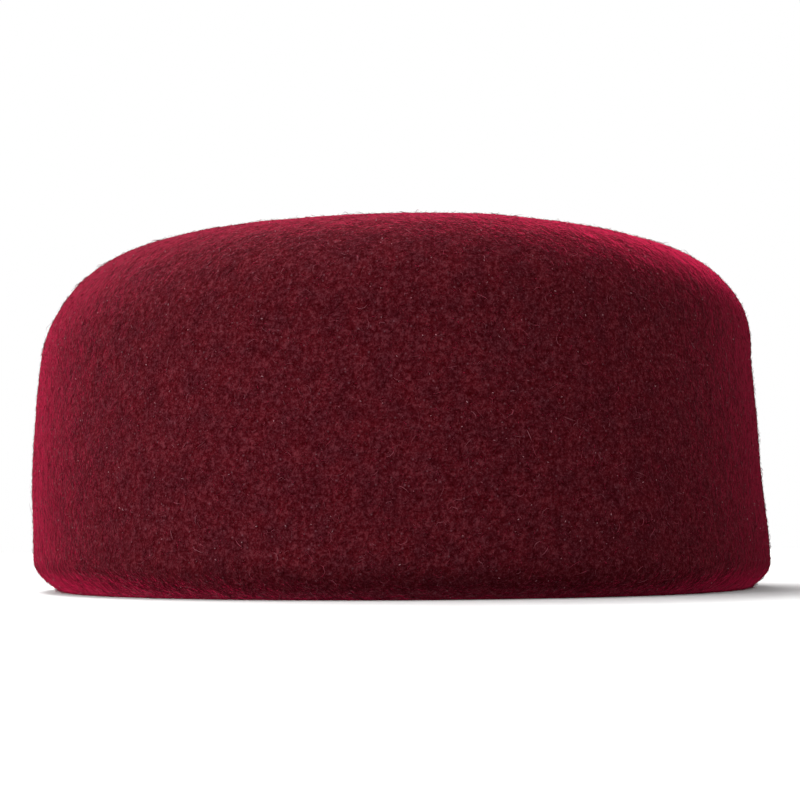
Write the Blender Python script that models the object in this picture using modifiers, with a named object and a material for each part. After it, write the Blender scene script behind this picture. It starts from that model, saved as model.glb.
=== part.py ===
"""A pillbox hat blocked from one piece of wool felt, standing on its rim.

Metres, +Z up. The origin is the middle of the hat's footprint, at the height
of the surface that it stands on. The forehead is towards -Y, the wearer's left
is +X. The felt is one sheet: a nearly flat oval crown, a rounded shoulder, a
wall that leans in a little towards the top, and a rim that turns under.
"""

import math
from typing import NamedTuple

import bmesh
import bpy

# Driving dimensions
WIDTH = 0.180  # ear to ear, at the widest ring
LENGTH = 0.204  # forehead to back, at the widest ring
HEIGHT = 0.0792  # from the surface below to the top of the crown
FELT = 0.0024  # thickness of the felt
CROWN_RISE = 0.0012  # how far the crown's middle stands above its edge
SHOULDER_REACH = 0.0199  # how far the shoulder's curve runs inwards
SHOULDER_DROP = 0.0236  # how far the shoulder's curve runs down
WALL_LEAN = 0.0019  # how far the wall comes in by the foot of the shoulder
TUCK_HEIGHT = 0.0070  # height of the widest ring, below which the rim turns in
TUCK_REACH = 0.0058  # how far the rim turns in
RIM_PRESS = 0.0008  # depth of the rim's lowest corner that lies pressed flat
RIM_ROUNDING = 0.0005  # rounding of the cut edge's corners



class Sway(NamedTuple):
    """How far one ring of the blocked felt lies to a side."""

    height: float  # of the ring, as a share of HEIGHT
    shift: float  # towards +X, as a share of WIDTH


# The blocked felt isn't quite symmetric: its left shoulder is the rounder one
# and its right rim the fuller one, as seen from the front
SWAY = (
    Sway(height=0.00, shift=0.0080),
    Sway(height=0.12, shift=0.0030),
    Sway(height=0.36, shift=-0.0030),
    Sway(height=0.66, shift=-0.0030),
    Sway(height=0.88, shift=0.0054),
    Sway(height=1.00, shift=0.0070),
)

# How finely the curves are cut
MERIDIANS = 72
CROWN_STEPS = 5
SHOULDER_STEPS = 9
WALL_STEPS = 6
TUCK_STEPS = 6
ROUNDING_STEPS = 2

COLLECTION = "pillbox_hat"
WINE = (0.080, 0.009, 0.014, 1.0)
FELT_ROUGHNESS = 0.95
FELT_SHEEN = 0.35
SHARP_ANGLE = math.radians(40)
WELD = 0.00001


def clear_scene():
    for item in list(bpy.data.objects):
        bpy.data.objects.remove(item, do_unlink=True)


def sheet_profile():
    """The felt's outer face as (radius, height), from the crown's middle down to the cut edge."""
    widest = WIDTH / 2
    wall_top = HEIGHT - CROWN_RISE - SHOULDER_DROP
    shoulder_foot = widest - WALL_LEAN
    crown_radius = shoulder_foot - SHOULDER_REACH
    points = []
    for step in range(CROWN_STEPS):
        share = step / CROWN_STEPS
        points.append((crown_radius * share, HEIGHT - CROWN_RISE * share**2))
    for step in range(SHOULDER_STEPS):
        angle = math.pi / 2 * (1 - step / SHOULDER_STEPS)
        points.append(
            (
                crown_radius + SHOULDER_REACH * math.cos(angle),
                wall_top + SHOULDER_DROP * math.sin(angle),
            )
        )
    for step in range(WALL_STEPS):
        share = 1 - step / WALL_STEPS
        height = TUCK_HEIGHT + (wall_top - TUCK_HEIGHT) * share
        points.append((widest - WALL_LEAN * share**2, height))
    for step in range(TUCK_STEPS + 1):
        drop = (TUCK_HEIGHT + RIM_PRESS) * step / TUCK_STEPS
        points.append(
            (widest - TUCK_REACH * (drop / TUCK_HEIGHT) ** 2, TUCK_HEIGHT - drop)
        )
    return points


def turned(name, profile):
    """The mesh that a profile sweeps when it is turned once about Z."""
    line = bpy.data.meshes.new(name)
    line.from_pydata(
        [(radius, 0, height) for radius, height in profile],
        [(i, i + 1) for i in range(len(profile) - 1)],
        [],
    )
    guide = bpy.data.objects.new(name, line)
    bpy.context.scene.collection.objects.link(guide)
    screw = guide.modifiers.new("Screw", "SCREW")
    screw.steps = screw.render_steps = MERIDIANS
    screw.use_merge_vertices = True
    screw.merge_threshold = WELD
    graph = bpy.context.evaluated_depsgraph_get()
    mesh = bpy.data.meshes.new_from_object(guide.evaluated_get(graph))
    bpy.data.objects.remove(guide, do_unlink=True)
    bpy.data.meshes.remove(line)
    mesh.name = name
    return mesh


def sway_at(height):
    """How far the ring at this height lies towards +X."""
    share = height / HEIGHT
    for low, high in zip(SWAY, SWAY[1:]):
        if share <= high.height:
            along = max(0.0, (share - low.height) / (high.height - low.height))
            smooth = along * along * (3 - 2 * along)
            return WIDTH * (low.shift + (high.shift - low.shift) * smooth)
    return WIDTH * SWAY[-1].shift


def shape_on_block(mesh):
    """Stretches the turned sheet to the head's oval and gives it its slight sway."""
    for vertex in mesh.vertices:
        vertex.co.y *= LENGTH / WIDTH
        vertex.co.x += sway_at(vertex.co.z)


def thickened(mesh):
    """The sheet as a wall of felt, its outer face where the sheet was."""
    wall = bpy.data.objects.new("felt_sheet", mesh)
    bpy.context.scene.collection.objects.link(wall)
    solidify = wall.modifiers.new("Solidify", "SOLIDIFY")
    solidify.thickness = FELT
    solidify.offset = -1
    solidify.use_even_offset = True
    graph = bpy.context.evaluated_depsgraph_get()
    thick = bpy.data.meshes.new_from_object(wall.evaluated_get(graph))
    bpy.data.objects.remove(wall, do_unlink=True)
    return thick


def press_rim_flat(mesh):
    """Cuts off what reaches below the rim plane and closes the cut with a flat ring."""
    shell = bmesh.new()
    shell.from_mesh(mesh)
    cut = bmesh.ops.bisect_plane(
        shell,
        geom=shell.verts[:] + shell.edges[:] + shell.faces[:],
        dist=WELD,
        plane_co=(0, 0, 0),
        plane_no=(0, 0, -1),
        clear_outer=True,
    )
    edges = [item for item in cut["geom_cut"] if isinstance(item, bmesh.types.BMEdge)]
    bmesh.ops.bridge_loops(shell, edges=edges)
    bmesh.ops.recalc_face_normals(shell, faces=shell.faces[:])
    shell.to_mesh(mesh)
    shell.free()


def felt_material():
    material = bpy.data.materials.new("wine_wool_felt")
    material.use_nodes = True
    shader = material.node_tree.nodes["Principled BSDF"]
    shader.inputs["Base Color"].default_value = WINE
    shader.inputs["Roughness"].default_value = FELT_ROUGHNESS
    shader.inputs["Metallic"].default_value = 0.0
    shader.inputs["Sheen Weight"].default_value = FELT_SHEEN
    material.diffuse_color = WINE
    return material


def build_felt_body(collection):
    """The whole hat: one wall of felt from the crown's middle to the cut rim."""
    sheet = turned("felt_body", sheet_profile())
    shape_on_block(sheet)
    mesh = thickened(sheet)
    press_rim_flat(mesh)
    mesh.materials.clear()
    mesh.materials.append(felt_material())
    mesh.shade_smooth()
    mesh.set_sharp_from_angle(angle=SHARP_ANGLE)
    body = bpy.data.objects.new("felt_body", mesh)
    collection.objects.link(body)
    bevel = body.modifiers.new("Bevel", "BEVEL")
    bevel.width = RIM_ROUNDING
    bevel.segments = ROUNDING_STEPS
    bevel.limit_method = "ANGLE"
    bevel.angle_limit = SHARP_ANGLE
    return body


def main():
    clear_scene()
    hat = bpy.data.collections.new(COLLECTION)
    bpy.context.scene.collection.children.link(hat)
    build_felt_body(hat)


main()
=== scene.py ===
"""Looks of a pillbox hat blocked from one piece of wine-red wool felt.

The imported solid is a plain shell. Here a finer shell with the felt's soft
unevenness and raw cut rim takes its place, and thousands of wool fibres lie on
it and stand out of it. Metres, +Z up, the forehead towards -Y. Colours are
linear red, green and blue.
"""

import math
from typing import NamedTuple

import bpy
import numpy as np
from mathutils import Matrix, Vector, noise


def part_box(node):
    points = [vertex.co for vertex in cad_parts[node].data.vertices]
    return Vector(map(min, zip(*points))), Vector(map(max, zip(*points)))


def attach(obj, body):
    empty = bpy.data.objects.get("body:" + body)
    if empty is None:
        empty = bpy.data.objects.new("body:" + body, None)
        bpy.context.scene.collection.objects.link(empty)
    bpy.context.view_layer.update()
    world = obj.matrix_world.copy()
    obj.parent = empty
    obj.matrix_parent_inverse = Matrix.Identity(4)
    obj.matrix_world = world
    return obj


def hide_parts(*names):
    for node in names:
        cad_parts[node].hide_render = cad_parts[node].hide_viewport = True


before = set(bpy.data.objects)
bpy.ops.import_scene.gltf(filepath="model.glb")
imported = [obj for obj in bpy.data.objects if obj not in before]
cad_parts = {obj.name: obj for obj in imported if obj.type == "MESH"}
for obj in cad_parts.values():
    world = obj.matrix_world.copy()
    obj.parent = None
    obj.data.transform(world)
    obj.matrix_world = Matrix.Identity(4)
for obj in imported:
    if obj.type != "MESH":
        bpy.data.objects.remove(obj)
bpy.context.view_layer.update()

NODE = "felt_body"
BODY = "root"
SEED = 20

# The hat's sizes: length and height from the frame, the rest from how the felt is blocked
LOW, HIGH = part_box(NODE)
OVAL = 204 / 180  # the oval's length over its width
LENGTH = HIGH[1] - LOW[1]
WIDTH = LENGTH / OVAL
HEIGHT = HIGH[2]
FELT = 0.0024  # thickness of the felt
CROWN_RISE = 0.0012  # how far the crown's middle stands above its edge
SHOULDER_REACH = 0.0199  # how far the shoulder's curve runs inwards
SHOULDER_DROP = 0.0236  # how far the shoulder's curve runs down
WALL_LEAN = 0.0019  # how far the wall comes in by the foot of the shoulder
TUCK_HEIGHT = 0.0070  # height of the widest ring, below which the rim turns in
TUCK_REACH = 0.0058  # how far the rim turns in
RIM_PRESS = 0.0008  # depth of the rim's lowest corner that lies pressed flat
FLOOR_GAP = 0.00005  # height over the floor that no point goes below
SHORTEST = 1e-12  # least length that a direction is divided by


class Sway(NamedTuple):
    """How far one ring of the blocked felt lies to a side."""

    height: float  # of the ring, as a share of HEIGHT
    shift: float  # towards +X, as a share of WIDTH


SWAYS = (
    Sway(height=0.00, shift=0.0080),
    Sway(height=0.12, shift=0.0030),
    Sway(height=0.36, shift=-0.0030),
    Sway(height=0.66, shift=-0.0030),
    Sway(height=0.88, shift=0.0054),
    Sway(height=1.00, shift=0.0070),
)

# How finely the shell is cut
SEGMENTS = 448  # points around each ring
OUTER_RINGS = 132  # rings on the outer face
INNER_SKIP = 2  # the inner face follows every second ring of the outer one
EDGE_RINGS = 8  # rings on the cut edge
CURVE_POINTS = 400  # on each curve of the profile, before it is spaced evenly


class Waves(NamedTuple):
    """One kind of smooth unevenness in the felt."""

    wavelength: float
    depth: float
    offset: float = 0.0  # where in the noise it is read


SWELL = Waves(wavelength=0.038, depth=0.00030)
LUMPS = Waves(wavelength=0.011, depth=0.00012, offset=7.0)
MOTTLE = Waves(wavelength=0.0036, depth=0.00007, offset=3.0)
INNER_LUMPS = LUMPS._replace(offset=11.0)
INNER_MOTTLE = MOTTLE._replace(offset=5.0)
RAGGED = Waves(wavelength=0.0022, depth=0.00022, offset=9.0)
EDGE_BULGE = 0.0006  # how far the middle of the cut edge stands out


class Fibres(NamedTuple):
    """One kind of wool fibre on the felt."""

    name: str
    skin: str  # the face that they grow on
    wool: str
    count: int
    length: tuple  # shortest and longest
    thickness: float  # at its two rings, on average
    lift: tuple  # how high they stand, least and most, as a share of their length
    curl: float  # spread of the turn from one step to the next, in radians


FIBRE_KINDS = (
    Fibres("nap_deep", "outer", "deep", 13000, (0.0010, 0.0022), 0.000060, (0.02, 0.10), 0.70),
    Fibres("nap_warm", "outer", "warm", 16000, (0.0007, 0.0018), 0.000050, (0.03, 0.16), 0.80),
    Fibres("nap_light", "outer", "light", 9000, (0.0003, 0.0011), 0.000050, (0.05, 0.35), 0.80),
    Fibres("strays", "outer", "light", 2000, (0.0015, 0.0035), 0.000080, (0.04, 0.20), 0.75),
    # Tiny pale fibres whose pale colour is also a painted glint
    Fibres("pale_glint_specks", "outer", "pale", 1400, (0.0003, 0.0006), 0.000160, (0.10, 0.40), 0.60),
    Fibres("fuzz", "outer", "warm", 12000, (0.0004, 0.0009), 0.000035, (0.25, 0.70), 0.60),
    # The rim fringe's lighter wool is a painted highlight along the rim
    Fibres("rim_fringe", "rim", "cut", 8000, (0.0007, 0.0018), 0.000055, (0.15, 0.75), 0.70),
    Fibres("inner_nap", "inner", "warm", 6000, (0.0010, 0.0024), 0.000060, (0.03, 0.30), 0.80),
)
FRINGED_RINGS = 3  # rings of the outer face that the rim's fringe grows on too

# A fibre's mesh: a point at each end and two rings of points between them
SIDES = 3
FIBRE_POINTS = 2 + 2 * SIDES
LAST_POINT = FIBRE_POINTS - 1
FIBRE_STEPS = 3  # steps from one end to the other
ARCH = (-0.15, 0.55, 1.0, 1.0)  # height of its ends and rings, as a share of its lift
ROOT_DEPTH = 0.00005  # how far every root is sunk in the felt
END_LIFT = (0.2, 1.6)  # least and greatest factor on the height of the loose end
THICKNESS_RANGE = (0.7, 1.3)  # least and greatest factor on the kind's thickness

# The UV map that fibres are baked with, and the places of a fibre's points in its cell of it
BAKE_MAP = "OFBake"
CELL_ALONG = (0.15, 0.35, 0.35, 0.35, 0.65, 0.65, 0.65, 0.85)
CELL_ACROSS = (0.50, 0.25, 0.50, 0.75, 0.25, 0.50, 0.75, 0.50)

# The surface of the felt and of the loose fibres
SPECULAR = 0.03
SHEEN_ROUGHNESS = 0.30
FELT_SHEEN_TINT = (1.0, 0.021, 0.117)
FIBRE_SHEEN_TINT = (1.0, 0.023, 0.122)
FELT_ROUGHNESS = 0.95
FELT_SHEEN = 1.0


class Wool(NamedTuple):
    """Colour and surface of one kind of loose fibre."""

    dark: tuple  # colour of its darkest fibre
    light: tuple  # colour of its lightest fibre
    roughness: float
    sheen: float


WOOLS = {
    "deep": Wool((0.045, 0.0034, 0.0070), (0.095, 0.0075, 0.0145), roughness=0.90, sheen=0.35),
    "warm": Wool((0.085, 0.0070, 0.0140), (0.190, 0.0200, 0.0350), roughness=0.85, sheen=0.90),
    "light": Wool((0.130, 0.0240, 0.0340), (0.290, 0.0950, 0.1200), roughness=0.70, sheen=0.60),
    # The pale wool of the specks is a painted glint as well as pale wool
    "pale": Wool((0.200, 0.0550, 0.0700), (0.480, 0.2500, 0.2800), roughness=0.70, sheen=0.30),
    # The cut wool's lighter colour is a painted highlight along the rim
    "cut": Wool((0.160, 0.0170, 0.0300), (0.420, 0.0700, 0.1000), roughness=0.85, sheen=0.90),
}
SHADE = "shade"  # the attribute that says how light a fibre is, from 0 to 1


class Pattern(NamedTuple):
    """One noise in the felt's colour or relief."""

    spacing: float  # about how far apart its features are
    detail: float = 2.0
    roughness: float = 0.5
    kind: str = "FBM"


BLOTCHES = Pattern(spacing=0.0042)  # where the wool took a little more or less dye
GRAIN = Pattern(spacing=0.0010, roughness=1.0)  # matted fibres and the gaps between them
THREADS = Pattern(spacing=0.0012, detail=3.0, roughness=0.6, kind="RIDGED_MULTIFRACTAL")
TUFTS = Pattern(spacing=0.0036)
RIM_HIGHLIGHT_BORDER = Pattern(spacing=0.0024, detail=3.0)
TIP_GLINT_SPACING = 0.00055  # about how far apart the painted glints on the fibre ends are
PALE_FLECK_AND_GLINT_SPACING = 0.0018  # about how far apart the pale flecks are, which are painted glints too

# Depth of the felt's relief
TUFT_DEPTH = 0.0006
GRAIN_DEPTH = 0.00034
THREAD_DEPTH = 0.00007


class Stop(NamedTuple):
    """One colour of a ramp."""

    place: float
    colour: tuple


# The dye, from its darker to its lighter blotches
DYE = (Stop(0.34, (0.061, 0.0052, 0.0092)), Stop(0.66, (0.083, 0.0058, 0.0100)))

# The grain's factors on a colour: painted shade in the fibres' gaps, painted highlights on the
# topmost fibres
GRAIN_SHADE_AND_HIGHLIGHT = (
    Stop(0.34, (0.55, 0.10, 0.20)),
    Stop(0.52, (0.95, 0.85, 0.90)),
    Stop(0.68, (1.65, 3.40, 2.75)),
)


class Layer(NamedTuple):
    """A lighter colour where the value of a pattern says so, for strands of wool and for painted
    glints.
    """

    values: tuple  # of the pattern, between which its share changes
    shares: tuple  # how much of it shows at those values
    colour: tuple


# Painted glints on the fibre ends
TIP_GLINTS = Layer(values=(0.08, 0.42), shares=(0.50, 0.0), colour=(0.112, 0.0250, 0.0335))
STRANDS = Layer(values=(0.60, 0.95), shares=(0.0, 0.50), colour=(0.125, 0.0230, 0.0315))
# Pale flecks of wool, which are painted glints as well
PALE_FLECKS_AND_GLINTS = Layer(values=(0.05, 0.15), shares=(0.65, 0.0), colour=(0.160, 0.0550, 0.0700))

# A painted highlight along the raw cut rim: how high it reaches, how unevenly it ends, how much
# shows
RIM_HIGHLIGHT_COLOUR = (0.190, 0.0280, 0.0440)
RIM_HIGHLIGHT_HEIGHT = 0.0022
RIM_HIGHLIGHT_UNEVEN = 0.0020
RIM_HIGHLIGHT_SHARE = 0.9

# Sockets of a Mix node that mixes colours
MIX_SHARE = 0
MIX_FIRST = 6
MIX_SECOND = 7
MIX_RESULT = 2

# The studio's two floors and its even light
FLOOR_SIZE = 12.0
SEEN_FLOOR_BRIGHTNESS = 0.90
BOUNCE_FLOOR_BRIGHTNESS = 0.30
BOUNCE_FLOOR_DEPTH = 0.0005  # how far it lies under the one that is seen
ROOM_BRIGHTNESS = 1.0  # as the camera sees it
ROOM_LIGHT = 0.25  # as it lights the hat


class Sun(NamedTuple):
    """A distant soft light."""

    name: str
    azimuth: float  # the side that it comes from, in degrees: 0 is the camera's, 90 the right
    elevation: float  # in degrees
    strength: float
    spread: float  # its width in degrees


SUNS = (
    Sun("key", azimuth=-60, elevation=20, strength=3.4, spread=50),
    Sun("fill", azimuth=60, elevation=30, strength=1.0, spread=50),
    Sun("back_left", azimuth=-130, elevation=57, strength=2.2, spread=40),
    Sun("back", azimuth=-162, elevation=53, strength=1.95, spread=35),
)


def meridian(rings):
    """Radius and height of the outer face at even steps, from the crown's middle to the cut edge."""
    widest = WIDTH / 2
    wall_top = HEIGHT - CROWN_RISE - SHOULDER_DROP
    crown_radius = widest - WALL_LEAN - SHOULDER_REACH
    share = np.linspace(0, 1, CURVE_POINTS)
    angle = math.pi / 2 * (1 - share)
    drop = (TUCK_HEIGHT + RIM_PRESS) * share
    radius = np.concatenate(
        [
            crown_radius * share[:-1],
            crown_radius + SHOULDER_REACH * np.cos(angle[:-1]),
            widest - WALL_LEAN * (1 - share[:-1]) ** 2,
            widest - TUCK_REACH * (drop / TUCK_HEIGHT) ** 2,
        ]
    )
    height = np.concatenate(
        [
            HEIGHT - CROWN_RISE * share[:-1] ** 2,
            wall_top + SHOULDER_DROP * np.sin(angle[:-1]),
            wall_top + (TUCK_HEIGHT - wall_top) * share[:-1],
            TUCK_HEIGHT - drop,
        ]
    )
    steps = np.hypot(np.diff(radius), np.diff(height))
    travelled = np.concatenate([[0], np.cumsum(steps)])
    even = np.linspace(0, travelled[-1], rings + 1)[1:]
    return np.interp(even, travelled, radius), np.interp(even, travelled, height)


def sway(height):
    """How far the rings at these heights lie towards +X."""
    heights, shifts = np.array(SWAYS).T
    share = np.clip(height / HEIGHT, 0, 1)
    row = np.clip(np.searchsorted(heights, share) - 1, 0, len(heights) - 2)
    along = (share - heights[row]) / (heights[row + 1] - heights[row])
    smooth = along**2 * (3 - 2 * along)
    return WIDTH * (shifts[row] + (shifts[row + 1] - shifts[row]) * smooth)


def unit(vectors):
    """The vectors' directions, each of length 1."""
    return vectors / np.maximum(np.linalg.norm(vectors, axis=-1, keepdims=True), SHORTEST)


def normals_of(grid):
    """Outward normals of a grid of rings by segments."""
    down = np.gradient(grid, axis=0)
    around = np.roll(grid, -1, axis=1) - np.roll(grid, 1, axis=1)
    return unit(np.cross(down, around))


def waves(points, kind):
    """The height of that kind of waves at each point."""
    shift = Vector((kind.offset, kind.offset, kind.offset))
    flat = points.reshape(-1, 3) / kind.wavelength
    heights = [noise.noise(Vector(point) + shift) for point in flat]
    return kind.depth * np.array(heights).reshape(points.shape[:-1])


def outer_skin():
    """The outer face as a grid of points, and the same grid before its unevenness."""
    radius, height = meridian(OUTER_RINGS)
    angle = np.linspace(0, 2 * math.pi, SEGMENTS, endpoint=False)
    plain = np.stack(
        [
            radius[:, None] * np.cos(angle) + sway(height)[:, None],
            radius[:, None] * np.sin(angle) * OVAL,
            np.repeat(height[:, None], SEGMENTS, axis=1),
        ],
        axis=-1,
    )
    uneven = waves(plain, SWELL) + waves(plain, LUMPS) + waves(plain, MOTTLE)
    return plain + normals_of(plain) * uneven[..., None], plain


def inner_skin(plain):
    """The inner face, coarser than the outer one, from the crown to the cut edge."""
    picked = plain[::-INNER_SKIP][::-1]
    inset = picked - normals_of(picked) * FELT
    uneven = waves(inset, INNER_LUMPS) + waves(inset, INNER_MOTTLE)
    return inset + normals_of(picked) * uneven[..., None]


def cut_edge(outer_end, inner_end):
    """Rings of the raw cut edge from the outer to the inner face, rounded and a little ragged."""
    across = unit(inner_end - outer_end)
    around = unit(np.roll(outer_end, -1, axis=0) - np.roll(outer_end, 1, axis=0))
    away = unit(np.cross(across, around))
    rings = []
    for share in np.linspace(0, 1, EDGE_RINGS + 2)[1:-1]:
        ring = outer_end + (inner_end - outer_end) * share
        bulge = EDGE_BULGE * math.sqrt(math.sin(math.pi * share))
        rings.append(ring + away * (bulge + waves(ring, RAGGED))[:, None])
    return np.array(rings)


def off_floor(grid):
    """The same points, none of them under the floor."""
    lifted = grid.copy()
    lifted[..., 2] = np.maximum(lifted[..., 2], FLOOR_GAP)
    return lifted


def new_piece(name, points, faces, material):
    """A mesh object that rides on the hat and takes its slot."""
    mesh = bpy.data.meshes.new(name)
    sides = faces.shape[1]
    mesh.vertices.add(len(points))
    mesh.vertices.foreach_set("co", points.astype(np.float32).ravel())
    mesh.loops.add(faces.size)
    mesh.loops.foreach_set("vertex_index", faces.astype(np.int32).ravel())
    mesh.polygons.add(len(faces))
    mesh.polygons.foreach_set("loop_start", np.arange(0, faces.size, sides, dtype=np.int32))
    mesh.update(calc_edges=True)
    mesh.validate()
    mesh.shade_smooth()
    mesh.materials.append(material)
    piece = bpy.data.objects.new(name, mesh)
    bpy.context.scene.collection.objects.link(piece)
    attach(piece, BODY)
    return piece


def add_felt_shell(outer, inner, edge, material):
    """The closed wall of felt: outer face, cut edge and inner face, with a point at each pole."""
    rings = np.concatenate([outer, edge, inner[::-1]])
    count = len(rings)
    index = np.arange(count * SEGMENTS).reshape(count, SEGMENTS)
    after = np.roll(index, -1, axis=1)
    quads = np.stack([index[:-1], index[1:], after[1:], after[:-1]], axis=-1).reshape(-1, 4)
    outer_pole = np.full(SEGMENTS, index.size)
    inner_pole = outer_pole + 1
    outer_fan = np.stack([outer_pole, index[0], after[0]], axis=-1)
    inner_fan = np.stack([inner_pole, after[-1], index[-1]], axis=-1)
    triangles = np.concatenate([quads[:, [0, 1, 2]], quads[:, [0, 2, 3]], outer_fan, inner_fan])
    poles = np.array([rings[0].mean(axis=0), rings[-1].mean(axis=0)])
    points = np.concatenate([rings.reshape(-1, 3), poles])
    shell = new_piece("felt_shell", points, triangles, material)
    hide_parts(NODE)


def scatter(grid, count, rng):
    """Points spread evenly over a skin, with the normal and the downward direction there."""
    normals = normals_of(grid)
    corner = grid[:-1]
    down = grid[1:] - corner
    around = np.roll(corner, -1, axis=1) - corner
    area = np.linalg.norm(np.cross(down, around), axis=-1)
    cell = rng.choice(area.size, count, p=area.ravel() / area.sum())
    row, column = np.divmod(cell, SEGMENTS)
    place = rng.random((2, count, 1))
    roots = corner[row, column] + down[row, column] * place[0] + around[row, column] * place[1]
    return roots, normals[row, column], unit(down[row, column])


def fibre_paths(roots, normals, downs, kind, rng):
    """Four points along each fibre, which lies on the felt, curls and lifts as its kind does."""
    count = len(roots)
    sides = np.cross(normals, downs)
    heading = rng.uniform(0, 2 * math.pi, count)
    curl = rng.normal(0, kind.curl, count)
    length = rng.uniform(*kind.length, count)
    lift = rng.uniform(*kind.lift, count) * length
    arch = np.array(ARCH) * lift[:, None]
    arch[:, 0] -= ROOT_DEPTH
    arch[:, -1] *= rng.uniform(*END_LIFT, count)
    point = roots.copy()
    paths = [point + normals * arch[:, :1]]
    for step in range(1, FIBRE_STEPS + 1):
        turned = heading + curl * step
        along = downs * np.cos(turned)[:, None] + sides * np.sin(turned)[:, None]
        point = point + along * length[:, None] / FIBRE_STEPS
        paths.append(point + normals * arch[:, step : step + 1])
    return np.stack(paths, axis=1)


def spindles(paths, thickness, up):
    """Thin closed spindles along the fibres' paths: points and triangles."""
    start, first, second, end = (paths[:, step] for step in range(FIBRE_STEPS + 1))
    points = [start]
    for middle, before, after in ((first, start, second), (second, first, end)):
        side = unit(np.cross(after - before, up))
        over = unit(np.cross(side, after - before))
        for turn in range(SIDES):
            angle = 2 * math.pi * turn / SIDES
            spoke = side * math.cos(angle) + over * math.sin(angle)
            points.append(middle + spoke * thickness[:, None] / 2)
    points.append(end)
    # The triangles of each side, with their corners in the order that faces outward
    corners = []
    for turn in range(SIDES):
        here, following = 1 + turn, 1 + (turn + 1) % SIDES
        corners += [
            (0, here, following),
            (here, here + SIDES, following),
            (following, here + SIDES, following + SIDES),
            (here + SIDES, LAST_POINT, following + SIDES),
        ]
    faces = (np.arange(len(paths)) * FIBRE_POINTS)[:, None, None] + np.array(corners)
    return np.stack(points, axis=1).reshape(-1, 3), faces.reshape(-1, 3)


def add_cell_map(mesh, count):
    """A UV map that gives each fibre a cell of its own, for baking."""
    side = math.ceil(math.sqrt(count))
    cell = np.arange(count)
    origin = np.stack([cell % side, cell // side], axis=-1) / side
    local = np.stack([CELL_ALONG, CELL_ACROSS], axis=-1) / side
    places = (origin[:, None] + local[None]).reshape(-1, 2)
    corner = np.empty(len(mesh.loops), np.int32)
    mesh.loops.foreach_get("vertex_index", corner)
    layer = mesh.uv_layers.new(name=BAKE_MAP)
    layer.uv.foreach_set("vector", places[corner].astype(np.float32).ravel())


def add_fibres(kind, grid, rng, material):
    """One piece that holds all the fibres of a kind, each with a shade of its own."""
    roots, normals, downs = scatter(grid, kind.count, rng)
    paths = fibre_paths(roots, normals, downs, kind, rng)
    thickness = kind.thickness * rng.uniform(*THICKNESS_RANGE, kind.count)
    points, faces = spindles(paths, thickness, normals)
    mesh = new_piece(kind.name, off_floor(points), faces, material).data
    shade = np.repeat(rng.random(kind.count), FIBRE_POINTS).astype(np.float32)
    mesh.attributes.new(SHADE, "FLOAT", "POINT").data.foreach_set("value", shade)
    add_cell_map(mesh, kind.count)


def opaque(colour):
    """The colour with its opacity, the fourth value that sockets and ramps want."""
    return (*colour, 1.0)


def principled(name, roughness, sheen, tint):
    """A new matt material with that sheen: the material, its node tree and its shader."""
    material = bpy.data.materials.new(name)
    material.use_nodes = True
    tree = material.node_tree
    shader = tree.nodes["Principled BSDF"]
    shader.inputs["Roughness"].default_value = roughness
    shader.inputs["Specular IOR Level"].default_value = SPECULAR
    shader.inputs["Sheen Weight"].default_value = sheen
    shader.inputs["Sheen Tint"].default_value = opaque(tint)
    shader.inputs["Sheen Roughness"].default_value = SHEEN_ROUGHNESS
    return material, tree, shader


def noise_node(tree, place, pattern):
    """The value of a pattern at a place."""
    node = tree.nodes.new("ShaderNodeTexNoise")
    node.noise_type = pattern.kind
    node.inputs["Scale"].default_value = 1 / pattern.spacing
    node.inputs["Detail"].default_value = pattern.detail
    node.inputs["Roughness"].default_value = pattern.roughness
    tree.links.new(place, node.inputs["Vector"])
    return node.outputs[0]


def distance_node(tree, place, spacing):
    """Distance from the nearest of many points about a spacing apart, as a share of the spacing."""
    node = tree.nodes.new("ShaderNodeTexVoronoi")
    node.inputs["Scale"].default_value = 1 / spacing
    tree.links.new(place, node.inputs["Vector"])
    return node.outputs["Distance"]


def ramp_node(tree, value, stops):
    """The colour that a ramp of these stops gives a value."""
    node = tree.nodes.new("ShaderNodeValToRGB")
    elements = node.color_ramp.elements
    while len(elements) < len(stops):
        elements.new(0.5)
    for element, stop in zip(elements, stops):
        element.position = stop.place
        element.color = opaque(stop.colour)
    tree.links.new(value, node.inputs["Fac"])
    return node.outputs["Color"]


def mix_node(tree, share, first, second, kind="MIX"):
    """A mix of two colours, each a socket or a fixed value."""
    node = tree.nodes.new("ShaderNodeMix")
    node.data_type = "RGBA"
    node.blend_type = kind
    for number, value in ((MIX_SHARE, share), (MIX_FIRST, first), (MIX_SECOND, second)):
        if isinstance(value, bpy.types.NodeSocket):
            tree.links.new(value, node.inputs[number])
        else:
            node.inputs[number].default_value = value
    return node.outputs[MIX_RESULT]


def layer_node(tree, value, below, layer):
    """A layer of lighter colour over the colour below it, for wool strands and painted glints."""
    stops = [Stop(place, (share,) * 3) for place, share in zip(layer.values, layer.shares)]
    return mix_node(tree, ramp_node(tree, value, stops), below, opaque(layer.colour))


def bump_node(tree, height, depth, below=None):
    """A bump of that depth, over another one if given."""
    node = tree.nodes.new("ShaderNodeBump")
    node.inputs["Strength"].default_value = 1.0
    node.inputs["Distance"].default_value = depth
    tree.links.new(height, node.inputs["Height"])
    if below is not None:
        tree.links.new(below, node.inputs["Normal"])
    return node.outputs["Normal"]


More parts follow.
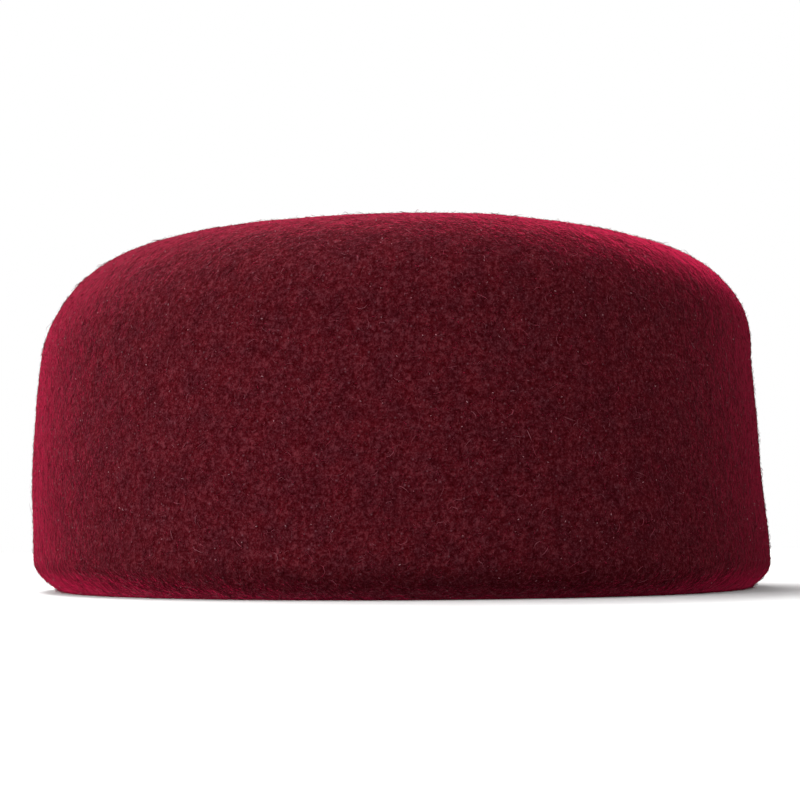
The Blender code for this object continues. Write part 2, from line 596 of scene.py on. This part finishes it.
def rim_highlight_node(tree, place):
    """Share of the painted highlight along the raw cut rim: most at the floor, none above an uneven
    border.
    """
    height = tree.nodes.new("ShaderNodeSeparateXYZ")
    tree.links.new(place, height.inputs["Vector"])
    uneven = tree.nodes.new("ShaderNodeMath")
    uneven.operation = "MULTIPLY_ADD"
    uneven.inputs[1].default_value = -RIM_HIGHLIGHT_UNEVEN
    tree.links.new(noise_node(tree, place, RIM_HIGHLIGHT_BORDER), uneven.inputs[0])
    tree.links.new(height.outputs["Z"], uneven.inputs[2])
    share = tree.nodes.new("ShaderNodeMapRange")
    share.inputs["From Min"].default_value = -RIM_HIGHLIGHT_UNEVEN / 2
    share.inputs["From Max"].default_value = RIM_HIGHLIGHT_HEIGHT - RIM_HIGHLIGHT_UNEVEN / 2
    share.inputs["To Min"].default_value = RIM_HIGHLIGHT_SHARE
    share.inputs["To Max"].default_value = 0.0
    tree.links.new(uneven.outputs["Value"], share.inputs["Value"])
    return share.outputs["Result"]


def felt_material():
    """Wine-red wool felt: painted shade and highlights on matted fibres of one dye, and a woolly
    surface.
    """
    material, tree, shader = principled("wine_felt", FELT_ROUGHNESS, FELT_SHEEN, FELT_SHEEN_TINT)
    place = tree.nodes.new("ShaderNodeTexCoord").outputs["Object"]
    grain = noise_node(tree, place, GRAIN)
    thread = noise_node(tree, place, THREADS)
    # Painted shade in the gaps between fibres and painted highlights on their tops, multiplied onto
    # the dye
    grain_shade_and_highlight = ramp_node(tree, grain, GRAIN_SHADE_AND_HIGHLIGHT)
    dye = ramp_node(tree, noise_node(tree, place, BLOTCHES), DYE)
    colour = mix_node(tree, 1.0, dye, grain_shade_and_highlight, "MULTIPLY")
    # Painted glints on the fibre ends over the felt
    colour = layer_node(tree, distance_node(tree, place, TIP_GLINT_SPACING), colour, TIP_GLINTS)
    colour = layer_node(tree, thread, colour, STRANDS)
    # Pale flecks of wool that are painted glints as well
    colour = layer_node(tree, distance_node(tree, place, PALE_FLECK_AND_GLINT_SPACING), colour, PALE_FLECKS_AND_GLINTS)
    # A painted highlight along the raw cut rim
    cut = mix_node(tree, 1.0, opaque(RIM_HIGHLIGHT_COLOUR), grain_shade_and_highlight, "MULTIPLY")
    colour = mix_node(tree, rim_highlight_node(tree, place), colour, cut)
    tree.links.new(colour, shader.inputs["Base Color"])
    relief = bump_node(tree, noise_node(tree, place, TUFTS), TUFT_DEPTH)
    relief = bump_node(tree, grain, GRAIN_DEPTH, relief)
    relief = bump_node(tree, thread, THREAD_DEPTH, relief)
    tree.links.new(relief, shader.inputs["Normal"])
    return material


def fibre_material(name, wool):
    """Dyed wool whose shade varies from fibre to fibre."""
    material, tree, shader = principled(name, wool.roughness, wool.sheen, FIBRE_SHEEN_TINT)
    shade = tree.nodes.new("ShaderNodeAttribute")
    shade.attribute_name = SHADE
    stops = (Stop(0.0, wool.dark), Stop(1.0, wool.light))
    colour = ramp_node(tree, shade.outputs["Fac"], stops)
    tree.links.new(colour, shader.inputs["Base Color"])
    return material


def build_hat():
    """The shell of felt, and every kind of fibre on its faces and its rim."""
    rng = np.random.default_rng(SEED)
    outer, plain = outer_skin()
    inner = inner_skin(plain)
    edge = cut_edge(outer[-1], inner[-1])
    add_felt_shell(off_floor(outer), off_floor(inner), off_floor(edge), felt_material())
    rim = np.concatenate([outer[-FRINGED_RINGS:], edge])
    skins = {"outer": outer, "rim": rim, "inner": inner[::-1]}
    wools = {name: fibre_material(f"{name}_wool", wool) for name, wool in WOOLS.items()}
    for kind in FIBRE_KINDS:
        add_fibres(kind, skins[kind.skin], rng, wools[kind.wool])


def floor_plane(name, height, brightness):
    """A large matt plane of that brightness, part of the studio."""
    bpy.ops.mesh.primitive_plane_add(size=FLOOR_SIZE, location=(0, 0, height))
    plane = bpy.context.object
    plane.name = name
    material = bpy.data.materials.new(name)
    material.use_nodes = True
    shader = material.node_tree.nodes["Principled BSDF"]
    shader.inputs["Base Color"].default_value = opaque((brightness,) * 3)
    shader.inputs["Roughness"].default_value = 1.0
    shader.inputs["Specular IOR Level"].default_value = 0.0
    plane.data.materials.append(material)
    return plane


def floor():
    """A pale floor that is only seen, and a darker one under it that gives the light from below."""
    seen = floor_plane("pale_floor", 0.0, SEEN_FLOOR_BRIGHTNESS)
    seen.visible_diffuse = False
    seen.visible_glossy = False
    seen.visible_shadow = False
    under = floor_plane("bounce_floor", -BOUNCE_FLOOR_DEPTH, BOUNCE_FLOOR_BRIGHTNESS)
    under.visible_camera = False


def white_room():
    """A white background, and a dimmer even light from all sides."""
    world = bpy.data.worlds.new("white_room")
    world.use_nodes = True
    tree = world.node_tree
    background = tree.nodes["Background"]
    background.inputs["Color"].default_value = opaque((1.0, 1.0, 1.0))
    light_path = tree.nodes.new("ShaderNodeLightPath")
    strength = tree.nodes.new("ShaderNodeMapRange")
    strength.inputs["To Min"].default_value = ROOM_LIGHT
    strength.inputs["To Max"].default_value = ROOM_BRIGHTNESS
    tree.links.new(light_path.outputs["Is Camera Ray"], strength.inputs["Value"])
    tree.links.new(strength.outputs["Result"], background.inputs["Strength"])
    bpy.context.scene.world = world


def add_sun(sun):
    """The distant soft light that a row of SUNS tells of."""
    around, up = math.radians(sun.azimuth), math.radians(sun.elevation)
    level = math.cos(up)
    source = Vector((math.sin(around) * level, -math.cos(around) * level, math.sin(up)))
    data = bpy.data.lights.new(sun.name, "SUN")
    data.energy = sun.strength
    data.angle = math.radians(sun.spread)
    light = bpy.data.objects.new(sun.name, data)
    light.rotation_euler = (-source).to_track_quat("-Z", "Y").to_euler()
    bpy.context.scene.collection.objects.link(light)


def studio():
    """A white room with a soft key light from the left and others from the right and the back."""
    scene = bpy.context.scene
    scene.view_settings.view_transform = "Standard"
    scene.view_settings.look = "None"
    white_room()
    for sun in SUNS:
        add_sun(sun)


def camera():
    """The photo's frontal view, from as low as the floor allows."""
    distance = 0.370
    sideways = 0.0003
    eye_height = 0.0095
    pitch = math.radians(5.9)
    roll = math.radians(0.32)
    focal_pixels = 1447
    picture_side = 800
    data = bpy.data.cameras.new("camera")
    data.sensor_width = 36.0
    data.lens = data.sensor_width * focal_pixels / picture_side
    data.clip_start = 0.01
    eye = bpy.data.objects.new("camera", data)
    eye.location = (sideways, -distance, eye_height)
    eye.rotation_euler = (math.pi / 2 + pitch, roll, 0)
    bpy.context.scene.collection.objects.link(eye)
    bpy.context.scene.camera = eye


build_hat()
floor()
studio()
camera()
